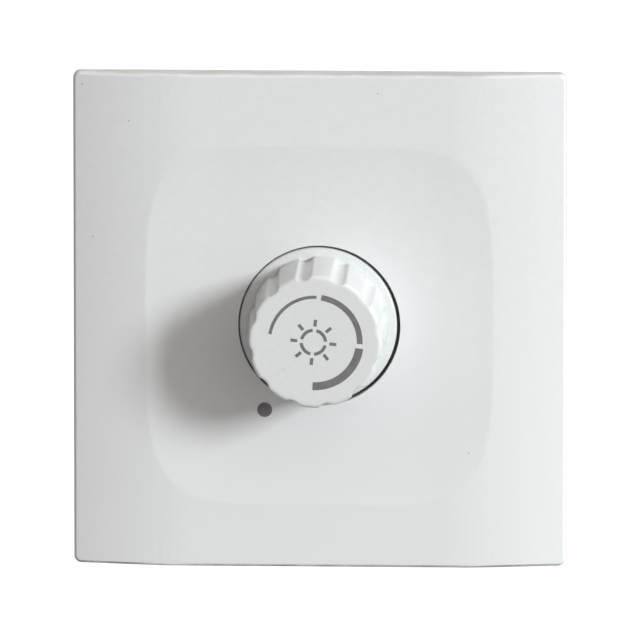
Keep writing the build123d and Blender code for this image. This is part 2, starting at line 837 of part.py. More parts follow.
with BuildPart() as heat_sink_screw:
    with BuildSketch(at(sink_back)):
        with Locations((tab_x, sink_z)):
            Circle(sink_screw_radius)
    extrude(amount=sink_thick + triac_tab_thick)
    with BuildSketch(at(lead_front)):
        with Locations((tab_x, sink_z)):
            Circle(sink_screw_head)
    extrude(amount=sink_screw_head_height)
    with BuildSketch(at(lead_front + sink_screw_head_height - drive_slot_depth)):
        with Locations((tab_x, sink_z)):
            Rectangle(drive_slot_width, 2 * sink_screw_head)
    extrude(amount=drive_slot_depth, mode=Mode.SUBTRACT)
heat_sink_screw.part.label = "heat_sink_screw"
export_step(heat_sink_screw.part, "parts/heat_sink_screw.step")


# Choke: ferrite drum standing on the board, its winding between the flanges
choke_x = choke_wall_gap + choke_radius - inner_width / 2
with BuildPart() as choke_core:
    with BuildSketch(at(board_front)):
        with Locations((choke_x, -choke_drop)):
            Circle(choke_waist)
    extrude(amount=choke_height)
    for flange_station in (board_front, board_front + choke_height - choke_flange):
        with BuildSketch(at(flange_station)):
            with Locations((choke_x, -choke_drop)):
                Circle(choke_radius)
        extrude(amount=choke_flange)
choke_core.part.label = "choke_core"
export_step(choke_core.part, "parts/choke_core.step")


with BuildPart() as choke_winding:
    with BuildSketch(at(board_front + choke_flange)):
        with Locations((choke_x, -choke_drop)):
            Circle(choke_radius - choke_winding_gap)
            Circle(choke_waist, mode=Mode.SUBTRACT)
    extrude(amount=choke_height - 2 * choke_flange)
choke_winding.part.label = "choke_winding"
export_step(choke_winding.part, "parts/choke_winding.step")


def boxed_capacitor(x, z, width, length, height):
    """Resin-filled box on the board."""
    with BuildSketch(at(board_front)) as footprint:
        with Locations((x, z)):
            RectangleRounded(width, length, film_corner)
    extrude(footprint.sketch, amount=height)


with BuildPart() as film_capacitor:
    film_x = inner_width / 2 - film_wall_gap - film_width / 2
    boxed_capacitor(film_x, -film_drop, film_width, film_length, film_height)
film_capacitor.part.label = "film_capacitor"
export_step(film_capacitor.part, "parts/film_capacitor.step")


with BuildPart() as timing_capacitor:
    timing_x = fuse_x + fuse_length / 2 + timing_gap + timing_width / 2
    timing_z = timing_rise - inner_height / 2
    boxed_capacitor(timing_x, timing_z, timing_width, timing_length, timing_height)
timing_capacitor.part.label = "timing_capacitor"
export_step(timing_capacitor.part, "parts/timing_capacitor.step")


# Two resistors and the trigger diode lie in a row between the lower screw columns
axial_z = axial_rise - inner_height / 2
axial_half = column_clear - axial_gap
resistor_span = resistor_length + 2 * wire_span
diode_span = diode_length + 2 * wire_span


def axial_part(x, radius, length, waist):
    """Axial component lying along X just above the board, its wires bent into it."""
    centre = board_front + axial_lift + radius
    with BuildSketch(Plane.YZ.offset(x)) as ends:
        with Locations((-centre, axial_z)):
            Circle(radius)
    extrude(ends.sketch, amount=length / 2, both=True)
    with BuildSketch(Plane.YZ.offset(x)) as groove:
        with Locations((-centre, axial_z)):
            Circle(radius)
            Circle(waist, mode=Mode.SUBTRACT)
    extrude(groove.sketch, amount=length / 4, both=True, mode=Mode.SUBTRACT)
    with BuildSketch(Plane.YZ.offset(x)) as wire:
        with Locations((-centre, axial_z)):
            Circle(wire_radius)
    extrude(wire.sketch, amount=length / 2 + wire_span, both=True)
    with BuildSketch(at(board_front)) as feet:
        with Locations((x, axial_z)):
            with GridLocations(length + 2 * wire_span - 2 * wire_radius, 0, 2, 1):
                Circle(wire_radius)
    extrude(feet.sketch, amount=centre - board_front)


with BuildPart() as resistors:
    for resistor_x in (resistor_span / 2 - axial_half, (resistor_span - diode_span) / 2):
        axial_part(resistor_x, resistor_radius, resistor_length, resistor_waist)
resistors.part.label = "resistors"
export_step(resistors.part, "parts/resistors.step")


with BuildPart() as trigger_diode:
    axial_part(axial_half - diode_span / 2, diode_radius, diode_length, diode_waist)
trigger_diode.part.label = "trigger_diode"
export_step(trigger_diode.part, "parts/trigger_diode.step")


# Fuse: glass tube with two end caps, held in sprung clips
fuse_z = fuse_rise - inner_height / 2
fuse_station = board_front + fuse_lift + fuse_radius
cap_centre = (fuse_length - fuse_cap) / 2
with BuildPart() as fuse_tube:
    with BuildSketch(Plane.YZ.offset(fuse_x)):
        with Locations((-fuse_station, fuse_z)):
            Circle(fuse_radius - fuse_cap_wall)
    extrude(amount=fuse_length / 2 - fuse_cap_wall, both=True)
fuse_tube.part.label = "fuse_tube"
export_step(fuse_tube.part, "parts/fuse_tube.step")


with BuildPart() as fuse_caps:
    with BuildSketch(Plane.YZ.offset(fuse_x)):
        with Locations((-fuse_station, fuse_z)):
            Circle(fuse_radius)
    extrude(amount=fuse_length / 2, both=True)
    with BuildSketch(Plane.YZ.offset(fuse_x)):
        with Locations((-fuse_station, fuse_z)):
            Circle(fuse_radius - fuse_cap_wall)
    extrude(amount=fuse_length / 2 - fuse_cap_wall, both=True, mode=Mode.SUBTRACT)
    with BuildSketch(Plane.YZ.offset(fuse_x)):
        with Locations((-fuse_station, fuse_z)):
            Circle(2 * fuse_radius)
    extrude(amount=fuse_length / 2 - fuse_cap, both=True, mode=Mode.SUBTRACT)
fuse_caps.part.label = "fuse_caps"
export_step(fuse_caps.part, "parts/fuse_caps.step")


with BuildPart() as fuse_clips:
    for clip_side in (-1, 1):
        clip_outer = fuse_radius + clip_wall
        with BuildSketch(Plane.YZ.offset(fuse_x + clip_side * cap_centre - clip_width / 2)):
            with Locations((-fuse_station, fuse_z)):
                Circle(clip_outer)
                Circle(fuse_radius, mode=Mode.SUBTRACT)
                with Locations((-clip_outer, 0)):
                    Rectangle(clip_outer, 2 * clip_outer, mode=Mode.SUBTRACT)
        extrude(amount=clip_width)
        with BuildSketch(at(board_front)):
            with Locations((fuse_x + clip_side * cap_centre, fuse_z)):
                Rectangle(clip_width, clip_foot)
        extrude(amount=fuse_lift - clip_base / 2)
fuse_clips.part.label = "fuse_clips"
export_step(fuse_clips.part, "parts/fuse_clips.step")


# Terminal block: two chambers, open to the back, each with a wire window below
with BuildPart() as terminal_block:
    with BuildSketch(at(block_back)):
        with Locations((0, block_bottom + block_height / 2)):
            Rectangle(block_width, block_height)
    extrude(amount=board_back - block_back)
    with BuildSketch(at(block_back)):
        with Locations((0, chamber_z)):
            with GridLocations(pole_pitch, 0, pole_count, 1):
                Rectangle(chamber_width, chamber_height)
    extrude(amount=chamber_front - block_back, mode=Mode.SUBTRACT)
    with BuildSketch(Plane.XY.offset(block_bottom)):
        with Locations((0, -wire_station)):
            with GridLocations(pole_pitch, 0, pole_count, 1):
                Rectangle(wire_window_width, wire_window_height)
    extrude(amount=block_wall, mode=Mode.SUBTRACT)
    # Slots that the bars slide into from the back
    bar_top = chamber_z + chamber_height / 2 + bar_reach
    with BuildSketch(at(block_back)):
        with Locations((0, bar_top - bar_reach / 2)):
            with GridLocations(pole_pitch, 0, pole_count, 1):
                Rectangle(bar_width, bar_reach)
    extrude(amount=bar_front - block_back, mode=Mode.SUBTRACT)
terminal_block.part.label = "terminal_block"
export_step(terminal_block.part, "parts/terminal_block.step")


with BuildPart() as terminal_bars:
    bar_length = chamber_height + bar_reach - cage_play
    with BuildSketch(at(bar_back)):
        with Locations((0, bar_top - bar_length / 2)):
            with GridLocations(pole_pitch, 0, pole_count, 1):
                Rectangle(bar_width, bar_length)
    extrude(amount=bar_thick)
terminal_bars.part.label = "terminal_bars"
export_step(terminal_bars.part, "parts/terminal_bars.step")


# Each pole has a rising cage and the captive screw that draws it back against the bar
for pole, side in (("live", -1), ("load", 1)):
    pole_x = side * pole_pitch / 2
    with BuildPart() as clamp:
        with BuildSketch(at(cage_back)):
            with Locations((pole_x, chamber_z)):
                Rectangle(cage_width, cage_length)
        extrude(amount=cage_front - cage_back)
        with BuildSketch(at(cage_back + cage_top)):
            with Locations((pole_x, chamber_z)):
                Rectangle(cage_width - 2 * cage_side, cage_length)
        extrude(amount=cage_window, mode=Mode.SUBTRACT)
        round_hole(cage_back, cage_top, clamp_screw_radius + clamp_screw_fit, pole_x, chamber_z)
    clamp.part.label = f"clamp_{pole}"
    export_step(clamp.part, f"parts/clamp_{pole}.step")

    with BuildPart() as clamp_screw:
        with BuildSketch(at(head_front - clamp_head_height)):
            with Locations((pole_x, chamber_z)):
                Circle(clamp_head_radius)
        extrude(amount=clamp_head_height)
        with BuildSketch(at(head_front)):
            with Locations((pole_x, chamber_z)):
                Circle(clamp_screw_radius)
        extrude(amount=screw_tip - head_front)
        with BuildSketch(at(head_front - clamp_head_height)):
            with Locations((pole_x, chamber_z)):
                Rectangle(2 * clamp_head_radius, drive_slot_width)
        extrude(amount=clamp_slot_depth, mode=Mode.SUBTRACT)
    clamp_screw.part.label = f"clamp_screw_{pole}"
    export_step(clamp_screw.part, f"parts/clamp_screw_{pole}.step")
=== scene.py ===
import json
import math

import bmesh
import bpy
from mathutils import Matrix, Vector
from mathutils.bvhtree import BVHTree


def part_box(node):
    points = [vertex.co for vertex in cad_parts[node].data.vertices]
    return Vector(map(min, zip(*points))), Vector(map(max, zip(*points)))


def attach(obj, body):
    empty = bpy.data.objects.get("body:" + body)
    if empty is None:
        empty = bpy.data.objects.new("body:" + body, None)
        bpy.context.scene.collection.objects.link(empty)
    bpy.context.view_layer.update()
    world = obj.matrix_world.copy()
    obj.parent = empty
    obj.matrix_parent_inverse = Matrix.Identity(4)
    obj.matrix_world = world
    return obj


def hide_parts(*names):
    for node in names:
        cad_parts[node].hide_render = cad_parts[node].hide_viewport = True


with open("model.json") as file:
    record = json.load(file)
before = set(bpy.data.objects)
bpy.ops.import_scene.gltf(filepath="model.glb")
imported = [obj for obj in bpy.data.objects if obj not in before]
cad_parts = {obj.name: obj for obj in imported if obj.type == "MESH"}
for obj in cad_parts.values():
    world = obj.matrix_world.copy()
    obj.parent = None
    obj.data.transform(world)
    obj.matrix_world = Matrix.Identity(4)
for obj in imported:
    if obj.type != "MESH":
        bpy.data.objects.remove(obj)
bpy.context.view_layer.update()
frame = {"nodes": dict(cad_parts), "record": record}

# Looks of a rotary wall dimmer. The room is on the -Y side, +Z is up, lengths are in metres.
MM = 0.001
scene = bpy.context.scene
nodes = frame["nodes"]
frame_slots = {e["node"]: e["material_slot"] for e in frame["record"]["subparts"]}

# Places taken from the frame
plate_low, plate_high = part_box("cover_plate")
knob_low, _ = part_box("knob")
shaft_low, shaft_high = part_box("control_shaft")
axis_x = (shaft_low.x + shaft_high.x) / 2
axis_z = (shaft_low.z + shaft_high.z) / 2
room_y = knob_low.y - 10 * MM

# The photograph: its width of 640 pixels shows this much of the plate's plane
VIEW_WIDTH = 111.9 * MM
VIEW_ELEVATION = math.radians(10.3)
VIEW_AZIMUTH = math.radians(2.2)
VIEW_DISTANCE = 3.0
AIM = Vector((-0.16 * MM, 0.0, -1.15 * MM))
VIEW_NEAR = 0.05
VIEW_FAR = 200.0
SENSOR = 36.0

# Grain of every finish: shares of the finish's own scale and roughness
DRIFT_SHARE = 0.12
DRIFT_DETAIL = 4.0
DRIFT_STOPS = (0.35, 0.65)
FINE_DETAIL = 5.0
FINE_DEPTH = 0.05 * MM
ROUGH_SPREAD = 0.2
ROUGH_LEAST = 0.02
SPECKLE_DETAIL = 2.0
PATCH_DETAIL = 4.0
RIDGE_STRENGTH = 0.8
GLASS_INDEX = 1.5
KNOB_SOFTNESS = 0.75 * MM
COVER_SOFTNESS = 0.15 * MM

# Dust, wear, painted shade on the plate's rims and painted light low on the cover. Pairs named EDGE or
# BREAK bound the distance, height or noise where a mark comes up.
DUST = ((-41.4, 41.4), (-33.2, 35.2), (-39.6, 14.5), (10.2, 40.4), (26.1, -23.2))
DUST_RADIUS = 0.13 * MM
DUST_EDGE = (1.3 * DUST_RADIUS, 0.7 * DUST_RADIUS)
DUST_COLOUR = (0.46, 0.44, 0.42)
SCUFF_PLACE = (-6.2 * MM, -6.0 * MM)
SCUFF_TURN = math.radians(-35)
SCUFF_SIZE = (1.7 * MM, 0.5 * MM)
SCUFF_EDGE = (1.0, 0.3)
SCUFF_SCALE = 2400
SCUFF_BREAK = (0.42, 0.62)
SCUFF_MOST = 0.9
SCUFF_COLOUR = (0.64, 0.63, 0.62)
# Painted light: the cover's colour grows lighter towards the bottom, standing in for more light there
PAINTED_LIGHT_EDGE = (15 * MM, -35 * MM)
PAINTED_LIGHT_COLOUR = (0.828, 0.836, 0.840)
# Patchiness of the rims' darkening, which is dust and painted shade
RIM_DUST_SHADE_SCALE = 190
RIM_DUST_SHADE_STRETCH = (1.0, 1.4, 1.0)
RIM_DUST_SHADE_BREAK = (0.38, 0.60)
RIM_DUST_SHADE_LEAST = 0.15
# Top edge: dust and painted shade darken it
TOP_DUST_SHADE_EDGE = (plate_high.z - 0.45 * MM, plate_high.z - 0.15 * MM)
TOP_DUST_SHADE_COLOUR = (0.69, 0.69, 0.675)
# Painted shade: a dark line along the bottom edge, which faces the dark surroundings below
BOTTOM_SHADE_EDGE = (plate_low.z + 0.55 * MM, plate_low.z + 0.20 * MM)
BOTTOM_SHADE_COLOUR = (0.40, 0.40, 0.40)

# Printed marks on the knob, measured from the shaft's axis; arcs are (name, start, end, width)
INK_THICK = 0.02 * MM
PRINT_TURN = math.radians(-5.5)
ARC_RADIUS = 7.85 * MM
ARC_SHIFT = (0.0, 0.10 * MM)
SUN_SHIFT = (-0.20 * MM, 0.0)
ARC_MARKS = (
    ("dim_arc", 93, 176, 0.56 * MM),
    ("middle_arc", 3, 87, 0.98 * MM),
    ("bright_arc", 273, 357, 1.40 * MM),
)
ARC_STEP = 2.5
ARC_LEAST_STEPS = 8
SUN_RADIUS = 2.10 * MM
SUN_WIDTH = 0.56 * MM
SUN_GAP = 9.0
SUN_ARCS = 4
RAY_START = 2.80 * MM
RAY_END = 4.00 * MM
RAY_COUNT = 8

# Index dot on the plate
DOT_X = -9.35 * MM
DOT_Z = -15.0 * MM
DOT_RADIUS = 1.30 * MM
DOT_STEPS = 48

# Front of the cover plate in millimetres: the crown's flat middle, bend and flanks, and the dish in it
CROWN_FLAT = 24.5
CROWN_BEND = 36.0
CROWN_SLOPE = math.radians(9.5)
SWELL_START = 22.0
SWELL_REACH = 21.0
SWELL_DROP = 2.6
SWELL_POWER = 1.9
DISH_HALF_X = 30.3
DISH_HALF_Z = 31.7
DISH_POWER_X = 5.5
DISH_POWER_Z = 4
DISH_DEPTH = 0.7
DISH_BLEND = 0.004

# Grid of the finer front in millimetres, closer along the dish's rim
SKIN_STEP = 0.9
RIM_STEP = 0.35
RIM_COUNT = 14
PLATE_HALF = 42.0
FRONT_NORMAL_Y = -0.96
FRONT_DEPTH = 3.2 * MM
FLAT_ANGLE = math.radians(0.05)
SHARP_ANGLE = math.radians(20)
CUT_REACH = 1e-7

# Key lamp, to the right of the view and a bit above it
KEY_TILT = math.radians(52.5)
KEY_RISE = math.radians(22)
KEY_DISTANCE = 4.0
KEY_SIZE = (0.96, 0.99)
KEY_POWER = 133.0
KEY_COLOUR = (0.955, 1.0, 1.02)

# Brightness of the surroundings below and above, and their colour at the left and the right
WORLD_LOW = 0.04
WORLD_HIGH = 0.90
WORLD_LEFT = (0.22, 0.175, 0.13)
WORLD_RIGHT = (1.28, 1.25, 1.22)
GLOSSY_WHITE = 0.25

# Floor below the plate
FLOOR_DROP = 180 * MM
FLOOR_HALF = 3.0
FLOOR_GREY = 0.32
FLOOR_ROUGHNESS = 0.9
FLOOR_GLOW = 0.85


def new_material(name):
    """Empty node material with a shader and its output."""
    material = bpy.data.materials.new(name)
    material.use_nodes = True
    tree = material.node_tree
    tree.nodes.clear()
    shader = tree.nodes.new("ShaderNodeBsdfPrincipled")
    output = tree.nodes.new("ShaderNodeOutputMaterial")
    tree.links.new(shader.outputs["BSDF"], output.inputs["Surface"])
    return material, tree, shader


def object_noise(tree, scale, detail, stretch=(1, 1, 1)):
    """Noise in the part's own frame; scale is in features per metre."""
    coords = tree.nodes.new("ShaderNodeTexCoord")
    mapping = tree.nodes.new("ShaderNodeMapping")
    mapping.inputs["Scale"].default_value = stretch
    noise = tree.nodes.new("ShaderNodeTexNoise")
    noise.inputs["Scale"].default_value = scale
    noise.inputs["Detail"].default_value = detail
    tree.links.new(coords.outputs["Object"], mapping.inputs["Vector"])
    tree.links.new(mapping.outputs["Vector"], noise.inputs["Vector"])
    return noise.outputs["Fac"]


def along_axis(tree, axis, coordinate="Object"):
    """One coordinate of the point that is shaded."""
    coords = tree.nodes.new("ShaderNodeTexCoord")
    split = tree.nodes.new("ShaderNodeSeparateXYZ")
    tree.links.new(coords.outputs[coordinate], split.inputs["Vector"])
    return split.outputs[axis]


def map_range(tree, value, start, end, low=0.0, high=1.0):
    """Maps a value between start and end to one between low and high."""
    node = tree.nodes.new("ShaderNodeMapRange")
    node.inputs["From Min"].default_value = start
    node.inputs["From Max"].default_value = end
    node.inputs["To Min"].default_value = low
    node.inputs["To Max"].default_value = high
    tree.links.new(value, node.inputs["Value"])
    return node.outputs["Result"]


def multiply(tree, first, second):
    """Product of two values."""
    node = tree.nodes.new("ShaderNodeMath")
    node.operation = "MULTIPLY"
    tree.links.new(first, node.inputs[0])
    tree.links.new(second, node.inputs[1])
    return node.outputs["Value"]


def colour_between(tree, factor, stops, colours):
    """Colour that goes from one to another as the factor goes from stop to stop."""
    node = tree.nodes.new("ShaderNodeValToRGB")
    for element, stop, colour in zip(node.color_ramp.elements, stops, colours):
        element.position = stop
        element.color = (*colour, 1)
    tree.links.new(factor, node.inputs["Fac"])
    return node.outputs["Color"]


def relief(tree, height, strength, distance):
    """Bump node over a height."""
    node = tree.nodes.new("ShaderNodeBump")
    node.inputs["Strength"].default_value = strength
    node.inputs["Distance"].default_value = distance
    tree.links.new(height, node.inputs["Height"])
    return node


def surface(name, colour, vary, roughness, grain, bump, metallic=0.0, stretch=(1, 1, 1), specular=0.5):
    """Material with a colour that drifts, a roughness that varies and a fine relief."""
    material, tree, shader = new_material(name)
    drift = object_noise(tree, grain * DRIFT_SHARE, DRIFT_DETAIL, stretch)
    low = [max(0.0, c * (1 - vary)) for c in colour]
    high = [min(1.0, c * (1 + vary)) for c in colour]
    tint = colour_between(tree, drift, DRIFT_STOPS, (low, high))
    tree.links.new(tint, shader.inputs["Base Color"])
    fine = object_noise(tree, grain, FINE_DETAIL, stretch)
    smoothest = max(ROUGH_LEAST, roughness * (1 - ROUGH_SPREAD))
    roughest = min(1.0, roughness * (1 + ROUGH_SPREAD))
    tree.links.new(map_range(tree, fine, 0.0, 1.0, smoothest, roughest), shader.inputs["Roughness"])
    grain_relief = relief(tree, fine, bump, FINE_DEPTH)
    tree.links.new(grain_relief.outputs["Normal"], shader.inputs["Normal"])
    shader.inputs["Metallic"].default_value = metallic
    shader.inputs["Specular IOR Level"].default_value = specular
    return material


def shader_of(material):
    """The surface shader of a material."""
    return next(n for n in material.node_tree.nodes if n.type == "BSDF_PRINCIPLED")


def lay_colour(material, factor, colour):
    """Lays a colour over the base colour by a factor."""
    tree = material.node_tree
    base = shader_of(material).inputs["Base Color"]
    below = base.links[0].from_socket
    mix = tree.nodes.new("ShaderNodeMix")
    mix.data_type = "RGBA"
    slots = {item.identifier: item for item in mix.inputs}
    tree.links.new(factor, slots["Factor_Float"])
    tree.links.new(below, slots["A_Color"])
    slots["B_Color"].default_value = (*colour, 1)
    tree.links.new(next(o for o in mix.outputs if o.identifier == "Result_Color"), base)


def speckle(material, colour, scale, start, end):
    """Small grains of a second colour; start and end bound the noise that shows them."""
    tree = material.node_tree
    noise = object_noise(tree, scale, SPECKLE_DETAIL)
    lay_colour(material, map_range(tree, noise, start, end), colour)


def rings(material, stops):
    """Painted rings across X; each stop is (start, end, colour), in shares of the piece's length."""
    tree = material.node_tree
    along = along_axis(tree, "X", "Generated")
    for start, end, colour in stops:
        near = tree.nodes.new("ShaderNodeMath")
        near.operation = "COMPARE"
        near.inputs[1].default_value = (start + end) / 2
        near.inputs[2].default_value = (end - start) / 2
        tree.links.new(along, near.inputs[0])
        lay_colour(material, near.outputs["Value"], colour)


def ridges(material, axis, pitch, depth):
    """Relief of even ridges along an axis, such as wire turns or a rolled sheet."""
    tree = material.node_tree
    normal = shader_of(material).inputs["Normal"]
    below = normal.links[0].from_socket
    phase = tree.nodes.new("ShaderNodeMath")
    phase.operation = "MULTIPLY"
    phase.inputs[1].default_value = 2 * math.pi / pitch
    tree.links.new(along_axis(tree, axis), phase.inputs[0])
    wave = tree.nodes.new("ShaderNodeMath")
    wave.operation = "SINE"
    tree.links.new(phase.outputs["Value"], wave.inputs[0])
    rows = relief(tree, wave.outputs["Value"], RIDGE_STRENGTH, depth)
    tree.links.new(below, rows.inputs["Normal"])
    tree.links.new(rows.outputs["Normal"], normal)


def spots(material, places, edge, colour):
    """Specks of dust at places (x, z) given in millimetres."""
    tree = material.node_tree
    coords = tree.nodes.new("ShaderNodeTexCoord")
    flat = tree.nodes.new("ShaderNodeVectorMath")
    flat.operation = "MULTIPLY"
    flat.inputs[1].default_value = (1, 0, 1)
    tree.links.new(coords.outputs["Object"], flat.inputs[0])
    for x, z in places:
        away = tree.nodes.new("ShaderNodeVectorMath")
        away.operation = "DISTANCE"
        away.inputs[1].default_value = (x * MM, 0, z * MM)
        tree.links.new(flat.outputs["Vector"], away.inputs[0])
        lay_colour(material, map_range(tree, away.outputs["Value"], *edge), colour)


def scuff(material, place, turn, size, colour):
    """Faint rubbed patch at a place (x, z), broken up by noise."""
    tree = material.node_tree
    coords = tree.nodes.new("ShaderNodeTexCoord")
    mapping = tree.nodes.new("ShaderNodeMapping")
    mapping.vector_type = "TEXTURE"
    mapping.inputs["Location"].default_value = (place[0], 0, place[1])
    mapping.inputs["Rotation"].default_value = (0, turn, 0)
    mapping.inputs["Scale"].default_value = (size[0], 1.0, size[1])
    tree.links.new(coords.outputs["Object"], mapping.inputs["Vector"])
    away = tree.nodes.new("ShaderNodeVectorMath")
    away.operation = "LENGTH"
    tree.links.new(mapping.outputs["Vector"], away.inputs[0])
    inside = map_range(tree, away.outputs["Value"], *SCUFF_EDGE)
    noise = object_noise(tree, SCUFF_SCALE, PATCH_DETAIL)
    patchy = map_range(tree, noise, *SCUFF_BREAK, 0.0, SCUFF_MOST)
    lay_colour(material, multiply(tree, inside, patchy), colour)


def paint_light_by_height(material, edge, colour):
    """Painted light: a slow change to a second colour between two heights."""
    tree = material.node_tree
    lay_colour(material, map_range(tree, along_axis(tree, "Z"), *edge), colour)


def rim_dust_and_shade(material, edge, colour):
    """Uneven darkening of the rim that lies past two heights: dust and painted shade on the top edge,
    painted shade on the bottom edge.
    """
    tree = material.node_tree
    height = map_range(tree, along_axis(tree, "Z"), *edge)
    noise = object_noise(tree, RIM_DUST_SHADE_SCALE, PATCH_DETAIL, RIM_DUST_SHADE_STRETCH)
    patchy = map_range(tree, noise, *RIM_DUST_SHADE_BREAK, RIM_DUST_SHADE_LEAST, 1.0)
    lay_colour(material, multiply(tree, height, patchy), colour)


def soften(material, radius):
    """Rounds the look of sharp edges, the way a moulding tool leaves them."""
    tree = material.node_tree
    bevel = tree.nodes.new("ShaderNodeBevel")
    bevel.inputs["Radius"].default_value = radius
    grain_relief = next(n for n in tree.nodes if n.type == "BUMP")
    tree.links.new(bevel.outputs["Normal"], grain_relief.inputs["Normal"])


def clear(material):
    """Turns a material to glass."""
    shader = shader_of(material)
    shader.inputs["Transmission Weight"].default_value = 1.0
    shader.inputs["IOR"].default_value = GLASS_INDEX


def dress(node_name, material):
    """Gives a CAD node its material."""
    node = nodes[node_name]
    node.data.materials.clear()
    node.data.materials.append(material)


# One finish for each material slot of the record: colour in linear light, its drift, roughness,
# grains per metre, relief, and where they differ from a plain solid, metal, stretch and specular
FINISHES = (
    ("cover_plastic", (0.80, 0.808, 0.812), 0.010, 0.34, 5200, 0.05),
    ("knob_plastic", (0.765, 0.777, 0.779), 0.012, 0.32, 6000, 0.05, 0.0, (1, 1, 1), 0.35),
    ("frame_plastic", (0.60, 0.62, 0.60), 0.03, 0.50, 4000, 0.20),
    ("housing_plastic", (0.012, 0.012, 0.014), 0.15, 0.50, 4200, 0.35),
    ("zinc_steel", (0.50, 0.51, 0.50), 0.08, 0.32, 3000, 0.10, 1.0),
    ("board_laminate", (0.030, 0.105, 0.042), 0.10, 0.30, 2500, 0.10),
    ("brass_plate", (0.58, 0.42, 0.14), 0.06, 0.26, 3500, 0.08, 1.0),
    ("nickel_steel", (0.60, 0.58, 0.53), 0.05, 0.22, 3500, 0.08, 1.0),
    ("can_steel", (0.42, 0.43, 0.44), 0.07, 0.36, 2600, 0.12, 1.0, (1, 1, 8)),
    ("wafer_laminate", (0.180, 0.075, 0.026), 0.14, 0.45, 3000, 0.15),
    ("tinned_metal", (0.56, 0.57, 0.55), 0.08, 0.30, 2800, 0.15, 1.0),
    ("shaft_metal", (0.62, 0.62, 0.62), 0.05, 0.24, 3000, 0.10, 1.0, (1, 9, 1)),
    ("carrier_plastic", (0.64, 0.60, 0.50), 0.04, 0.45, 3600, 0.15),
    ("spring_bronze", (0.56, 0.30, 0.12), 0.07, 0.25, 3200, 0.08, 1.0, (6, 1, 1)),
    ("spring_steel", (0.30, 0.30, 0.31), 0.08, 0.28, 3200, 0.08, 1.0),
    ("switch_plastic", (0.016, 0.016, 0.018), 0.12, 0.42, 4200, 0.30),
    ("triac_epoxy", (0.009, 0.009, 0.010), 0.15, 0.40, 5200, 0.35),
    ("sink_aluminium", (0.64, 0.65, 0.66), 0.05, 0.34, 2400, 0.12, 1.0, (8, 1, 1)),
    ("ferrite", (0.028, 0.027, 0.028), 0.18, 0.58, 5200, 0.40),
    ("winding_copper", (0.46, 0.105, 0.030), 0.12, 0.24, 3000, 0.10, 0.85),
    ("film_case", (0.62, 0.40, 0.020), 0.05, 0.32, 3400, 0.12),
    ("timing_case", (0.24, 0.020, 0.012), 0.08, 0.24, 2400, 0.15),
    ("diode_glass", (0.42, 0.12, 0.060), 0.10, 0.12, 3000, 0.05),
    ("resistor_coat", (0.54, 0.38, 0.200), 0.06, 0.32, 3000, 0.10),
    ("fuse_glass", (0.86, 0.92, 0.91), 0.02, 0.05, 2400, 0.04),
    ("block_plastic", (0.018, 0.075, 0.180), 0.06, 0.42, 3800, 0.25),
    ("terminal_brass", (0.54, 0.36, 0.10), 0.08, 0.30, 3200, 0.12, 1.0, (1, 1, 6)),
    ("clamp_steel", (0.52, 0.50, 0.42), 0.08, 0.32, 3200, 0.12, 1.0, (6, 1, 1)),
)
# Slot, grain's colour, grains per metre, and the noise between which they come up
SPECKLES = (
    ("ferrite", (0.10, 0.10, 0.11), 9000, 0.60, 0.68),
    ("wafer_laminate", (0.26, 0.13, 0.05), 2200, 0.55, 0.70),
    ("board_laminate", (0.06, 0.19, 0.07), 1600, 0.50, 0.75),
    ("zinc_steel", (0.66, 0.67, 0.64), 1400, 0.52, 0.60),
    ("housing_plastic", (0.030, 0.030, 0.032), 12000, 0.60, 0.70),
    ("timing_case", (0.34, 0.05, 0.03), 700, 0.50, 0.80),
)
# Slot, the axis that the ridges follow each other along, their pitch and depth
RIDGES = (
    ("brass_plate", "Y", 0.75 * MM, 0.10 * MM),
    ("can_steel", "Z", 0.9 * MM, 0.01 * MM),
    ("winding_copper", "Z", 0.55 * MM, 0.08 * MM),
)
RESISTOR_RINGS = (
    (0.35, 0.39, (0.10, 0.030, 0.012)),
    (0.43, 0.47, (0.012, 0.010, 0.010)),
    (0.51, 0.55, (0.44, 0.14, 0.008)),
    (0.63, 0.66, (0.50, 0.36, 0.10)),
)
DIODE_RINGS = ((0.60, 0.66, (0.010, 0.012, 0.016)),)

finishes = {row[0]: surface(*row) for row in FINISHES}
cover_finish = finishes["cover_plastic"]
knob_finish = finishes["knob_plastic"]
# Painted light: the cover lighter towards its bottom
paint_light_by_height(cover_finish, PAINTED_LIGHT_EDGE, PAINTED_LIGHT_COLOUR)
spots(cover_finish, DUST, DUST_EDGE, DUST_COLOUR)
soften(knob_finish, KNOB_SOFTNESS)
soften(cover_finish, COVER_SOFTNESS)
# Dust and painted shade on the top edge
rim_dust_and_shade(cover_finish, TOP_DUST_SHADE_EDGE, TOP_DUST_SHADE_COLOUR)
# Painted shade along the bottom edge
rim_dust_and_shade(cover_finish, BOTTOM_SHADE_EDGE, BOTTOM_SHADE_COLOUR)
scuff(knob_finish, SCUFF_PLACE, SCUFF_TURN, SCUFF_SIZE, SCUFF_COLOUR)
for slot, *values in SPECKLES:
    speckle(finishes[slot], *values)
for slot, *values in RIDGES:
    ridges(finishes[slot], *values)
rings(finishes["resistor_coat"], RESISTOR_RINGS)
rings(finishes["diode_glass"], DIODE_RINGS)
clear(finishes["fuse_glass"])
ink = surface("grey_ink", (0.185, 0.178, 0.185), 0.10, 0.55, 9000, 0.25)
for node_name, slot in frame_slots.items():
    dress(node_name, finishes[slot])


def place(name, data):
    """New object of the scene."""
    piece = bpy.data.objects.new(name, data)
    scene.collection.objects.link(piece)
    return piece


